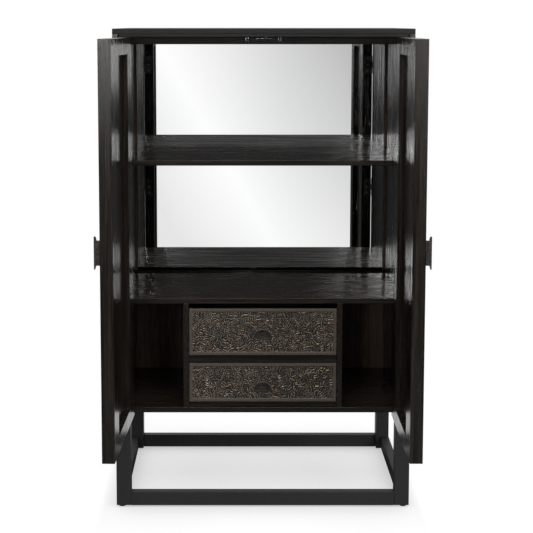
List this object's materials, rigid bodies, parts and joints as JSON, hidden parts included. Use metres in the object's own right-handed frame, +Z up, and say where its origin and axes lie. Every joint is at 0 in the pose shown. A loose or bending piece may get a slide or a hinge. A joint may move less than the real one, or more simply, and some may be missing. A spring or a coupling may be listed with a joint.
{
  "type": "bar armoire",
  "caption": "Dark two-door bar armoire on an open steel base, with carved doors and drawers, a mirrored back, a shelf, a serving deck and open side cubbies.",
  "frame": {"origin": "on the floor, under the middle of the space the armoire takes with its doors open as at rest", "axes": "+Z up, the front faces -Y, +X is to the right seen from the front"},
  "size_m": [1.029, 1.1338, 1.656],
  "materials": {
    "ebonised_wood": "near-black stained wood, semi-gloss lacquer",
    "carved_wood": "carved wood, near-black with worn bronze-brown high points, satin",
    "drawer_box_wood": "dark stained wood, matt",
    "black_steel": "black paint, matt",
    "dark_bronze": "dark bronzed, satin",
    "bright_steel": "bright, satin",
    "silvered_glass": "plain mirror glass",
    "black_plastic": "black, matt"
  },
  "bodies": {
    "case": {"back_panel": "ebonised_wood", "base_rail_front": "black_steel", "base_rail_left": "black_steel", "base_rail_rear": "black_steel", "base_rail_right": "black_steel", "bottom_panel": "ebonised_wood", "deck": "ebonised_wood", "drawer_bay_divider": "ebonised_wood", "drawer_bay_floor": "ebonised_wood", "header": "ebonised_wood", "inner_back": "ebonised_wood", "left_case_hinge_leaf_1": "dark_bronze", "left_case_hinge_leaf_2": "dark_bronze", "left_case_hinge_leaf_3": "dark_bronze", "left_partition": "ebonised_wood", "left_side_panel": "ebonised_wood", "leg_front_left": "black_steel", "leg_front_right": "black_steel", "leg_rear_left": "black_steel", "leg_rear_right": "black_steel", "magnetic_catch": "bright_steel", "mirror": "silvered_glass", "right_case_hinge_leaf_1": "dark_bronze", "right_case_hinge_leaf_2": "dark_bronze", "right_case_hinge_leaf_3": "dark_bronze", "right_partition": "ebonised_wood", "right_side_panel": "ebonised_wood", "shelf": "ebonised_wood", "top_panel": "ebonised_wood"},
    "left_door": {"left_door_carved_panel": "carved_wood", "left_door_frame": "ebonised_wood", "left_door_hinge_leaf_1": "dark_bronze", "left_door_hinge_leaf_2": "dark_bronze", "left_door_hinge_leaf_3": "dark_bronze", "left_door_pull": "dark_bronze", "left_door_strike_plate": "bright_steel"},
    "right_door": {"right_door_carved_panel": "carved_wood", "right_door_frame": "ebonised_wood", "right_door_hinge_leaf_1": "dark_bronze", "right_door_hinge_leaf_2": "dark_bronze", "right_door_hinge_leaf_3": "dark_bronze", "right_door_pull": "dark_bronze", "right_door_strike_plate": "bright_steel"},
    "lower_drawer": {"lower_drawer_back": "drawer_box_wood", "lower_drawer_bottom": "drawer_box_wood", "lower_drawer_finger_cup": "dark_bronze", "lower_drawer_front": "carved_wood", "lower_drawer_left_side": "drawer_box_wood", "lower_drawer_right_side": "drawer_box_wood"},
    "upper_drawer": {"upper_drawer_back": "drawer_box_wood", "upper_drawer_bottom": "drawer_box_wood", "upper_drawer_finger_cup": "dark_bronze", "upper_drawer_front": "carved_wood", "upper_drawer_left_side": "drawer_box_wood", "upper_drawer_right_side": "drawer_box_wood"},
    "glide_front_left_body": {"glide_front_left": "black_plastic"},
    "glide_front_right_body": {"glide_front_right": "black_plastic"},
    "glide_rear_left_body": {"glide_rear_left": "black_plastic"},
    "glide_rear_right_body": {"glide_rear_right": "black_plastic"}
  },
  "joints": [
    {"name": "left_door_hinge", "type": "hinge", "parent": "case", "child": "left_door", "pos_m": [-0.48179, -0.07864, 0.97925], "axis": [0, 0, -1], "range_deg": [-92.4, 82.6]},
    {"name": "right_door_hinge", "type": "hinge", "parent": "case", "child": "right_door", "pos_m": [0.49471, -0.07864, 0.97925], "axis": [0, 0, 1], "range_deg": [-89.6, 85.4]},
    {"name": "lower_drawer_slide", "type": "slide", "parent": "case", "child": "lower_drawer", "axis": [0, -1, 0], "range_m": [0, 0.35]},
    {"name": "upper_drawer_slide", "type": "slide", "parent": "case", "child": "upper_drawer", "axis": [0, -1, 0], "range_m": [0, 0.35]},
    {"name": "glide_front_left_turn", "type": "hinge", "parent": "case", "child": "glide_front_left_body", "pos_m": [-0.48254, -0.05414, 0], "axis": [0, 0, 1], "continuous": true},
    {"name": "glide_front_right_turn", "type": "hinge", "parent": "case", "child": "glide_front_right_body", "pos_m": [0.49546, -0.05414, 0], "axis": [0, 0, 1], "continuous": true},
    {"name": "glide_rear_left_turn", "type": "hinge", "parent": "case", "child": "glide_rear_left_body", "pos_m": [-0.48254, 0.54786, 0], "axis": [0, 0, 1], "continuous": true},
    {"name": "glide_rear_right_turn", "type": "hinge", "parent": "case", "child": "glide_rear_right_body", "pos_m": [0.49546, 0.54786, 0], "axis": [0, 0, 1], "continuous": true}
  ]
}
